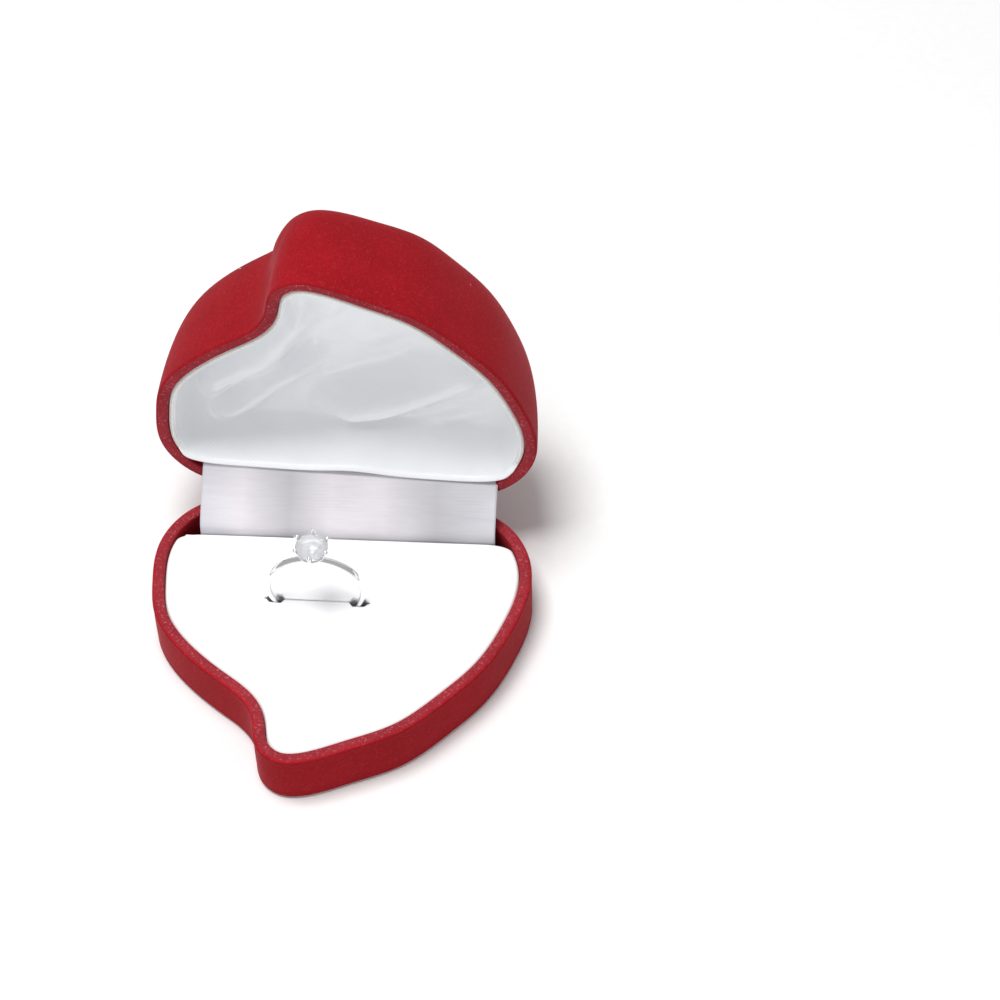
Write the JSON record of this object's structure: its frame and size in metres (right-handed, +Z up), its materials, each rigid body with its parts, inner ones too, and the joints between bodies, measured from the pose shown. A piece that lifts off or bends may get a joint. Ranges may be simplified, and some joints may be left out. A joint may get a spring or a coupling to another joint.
{
  "type": "jewelry gift box",
  "caption": "Open heart-shaped flocked ring box with a curled tail, a hinged domed lid, satin lining, a white pad and a ring in its slit.",
  "frame": {"origin": "on the resting plane, below the middle of the heart-shaped base", "axes": "+X along the hinge, +Y from the tail towards the hinge, +Z up"},
  "size_m": [0.0746, 0.0884, 0.0774],
  "materials": {
    "flock": "red flocked",
    "card": "grey card",
    "foam": "open-cell foam",
    "velvet": "white short-pile velvet",
    "satin": "white satin",
    "ribbon": "pale grey satin ribbon",
    "steel": "plated steel",
    "silver": "polished silver",
    "stone": "faceted clear stone"
  },
  "bodies": {
    "base": {"base_shell": "flock", "pad_card": "card", "pad_foam": "foam", "pad_cover": "velvet", "hinge_base_leaf": "steel", "base_leaf_rivets": "steel", "hinge_pin": "steel", "snap_spring": "steel", "hinge_ribbon": "ribbon", "ring_band": "silver", "ring_setting": "silver", "ring_stone": "stone"},
    "lid": {"lid_shell": "flock", "hinge_lid_leaf": "steel", "lid_leaf_rivets": "steel", "lining_card": "card", "lining_wadding": "foam", "lining_satin": "satin"}
  },
  "joints": [
    {"name": "lid_hinge", "type": "hinge", "parent": "base", "child": "lid", "pos_m": [0, 0.0307, 0.0129], "axis": [1, 0, 0], "range_deg": [0, 87], "deforming": ["hinge_ribbon"]}
  ]
}
